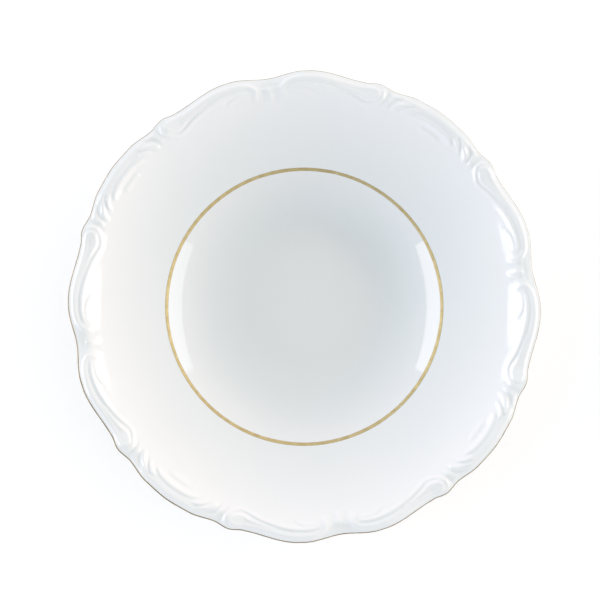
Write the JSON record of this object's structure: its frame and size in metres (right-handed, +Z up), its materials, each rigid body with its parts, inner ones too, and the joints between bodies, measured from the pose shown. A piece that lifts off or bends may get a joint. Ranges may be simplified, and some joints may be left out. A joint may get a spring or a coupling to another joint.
{
  "type": "serving bowl",
  "caption": "Round shallow porcelain serving bowl with a plain well, a gold shoulder line, a scalloped rim with moulded scrolls, and a foot ring.",
  "frame": {"origin": "centre of the foot ring's standing face", "axes": "+Z up along the bowl's axis, out of the mouth; +X through one of the four deep rim notches"},
  "size_m": [0.2468, 0.2468, 0.0558],
  "materials": {
    "porcelain": "bare fired hard-paste porcelain, fine matte biscuit",
    "glaze": "clear glossy glaze over white porcelain",
    "gold": "thin fired gold, satin, worn along the rim"
  },
  "bodies": {
    "root": {"porcelain_body": "porcelain", "foot_ring": "porcelain", "inside_glaze": "glaze", "outside_glaze": "glaze", "recess_glaze": "glaze", "shoulder_gold_line": "gold", "rim_gold_line": "gold"}
  },
  "joints": []
}
